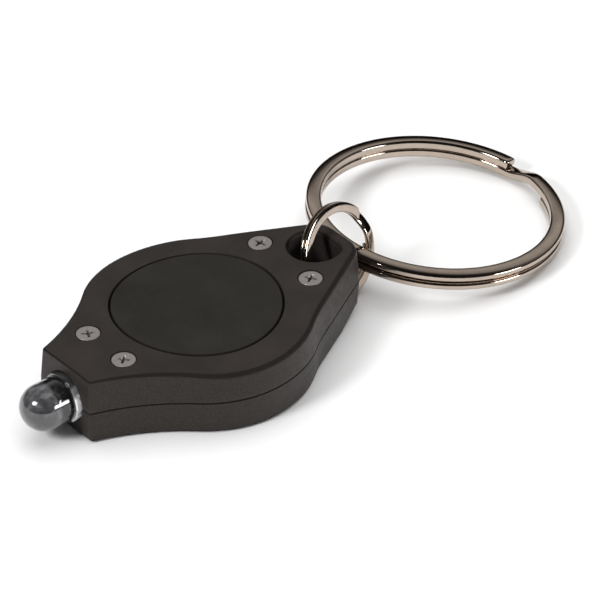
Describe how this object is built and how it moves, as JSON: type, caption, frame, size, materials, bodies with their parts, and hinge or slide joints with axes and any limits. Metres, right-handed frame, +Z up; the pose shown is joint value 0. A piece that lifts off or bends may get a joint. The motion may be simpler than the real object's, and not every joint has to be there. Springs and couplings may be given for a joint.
{
  "type": "keychain flashlight",
  "caption": "Flat keychain LED flashlight with a round press button over coin cells, a clear lens in the nose, and a small split ring at the tail that carries a larger key ring.",
  "frame": {"origin": "on the flat underside of the case, under the centre of the round button", "axes": "+X along the light beam, from the tail to the lens; +Z up out of the button; +Y across the case"},
  "size_m": [0.0699, 0.0287, 0.0105],
  "materials": {
    "case_plastic": "moulded black ABS, fine grain, lightly worn",
    "button_plastic": "moulded black ABS, fine grain",
    "return_rubber": "translucent grey silicone, matt",
    "screw_steel": "zinc plated, slightly dull",
    "lens_epoxy": "water-clear cast epoxy, polished",
    "lead_wire": "tinned steel wire, satin",
    "led_die": "semiconductor die, polished",
    "gold_wire": "fine drawn wire, bright",
    "cell_steel": "drawn stainless steel, satin",
    "cell_gasket": "moulded seal, dull",
    "cell_lithium": "soft grey metal, dull",
    "cell_separator": "thin white non-woven sheet",
    "cell_cathode": "pressed dark powder, matt",
    "ring_nickel": "nickel-plated spring steel, lightly scratched"
  },
  "bodies": {
    "case": {"top_shell": "case_plastic", "bottom_shell": "case_plastic", "button_return_ring": "return_rubber", "screw_front_left": "screw_steel", "screw_front_right": "screw_steel", "screw_rear_left": "screw_steel", "screw_rear_right": "screw_steel", "led_lens": "lens_epoxy", "led_cathode_lead": "lead_wire", "led_anode_lead": "lead_wire", "led_chip": "led_die", "led_bond_wire": "gold_wire", "lower_cell_cap": "cell_steel", "lower_cell_gasket": "cell_gasket", "lower_cell_lithium": "cell_lithium", "lower_cell_separator": "cell_separator", "lower_cell_cathode": "cell_cathode", "lower_cell_can": "cell_steel", "upper_cell_cap": "cell_steel", "upper_cell_gasket": "cell_gasket", "upper_cell_lithium": "cell_lithium", "upper_cell_separator": "cell_separator", "upper_cell_cathode": "cell_cathode", "upper_cell_can": "cell_steel"},
    "button": {"button_cap": "button_plastic"},
    "small_ring": {"small_split_ring": "ring_nickel"},
    "key_ring": {"key_ring": "ring_nickel"}
  },
  "joints": [
    {"name": "button_press", "type": "slide", "parent": "case", "child": "button", "axis": [0, 0, -1], "range_m": [0, 0.0005], "stiffness_N_per_m": 2000, "deforming": ["button_return_ring", "led_anode_lead"]},
    {"name": "small_ring_lean", "type": "hinge", "parent": "case", "child": "small_ring", "pos_m": [-0.01865, 0, 0.00542], "axis": [0.9816, 0.1908, 0], "range_deg": [-38, 1]},
    {"name": "key_ring_flip", "type": "hinge", "parent": "small_ring", "child": "key_ring", "pos_m": [-0.02105, 0.00005, 0.0039], "axis": [-0.1679, 0.9841, -0.0577], "range_deg": [-85, 90]}
  ]
}
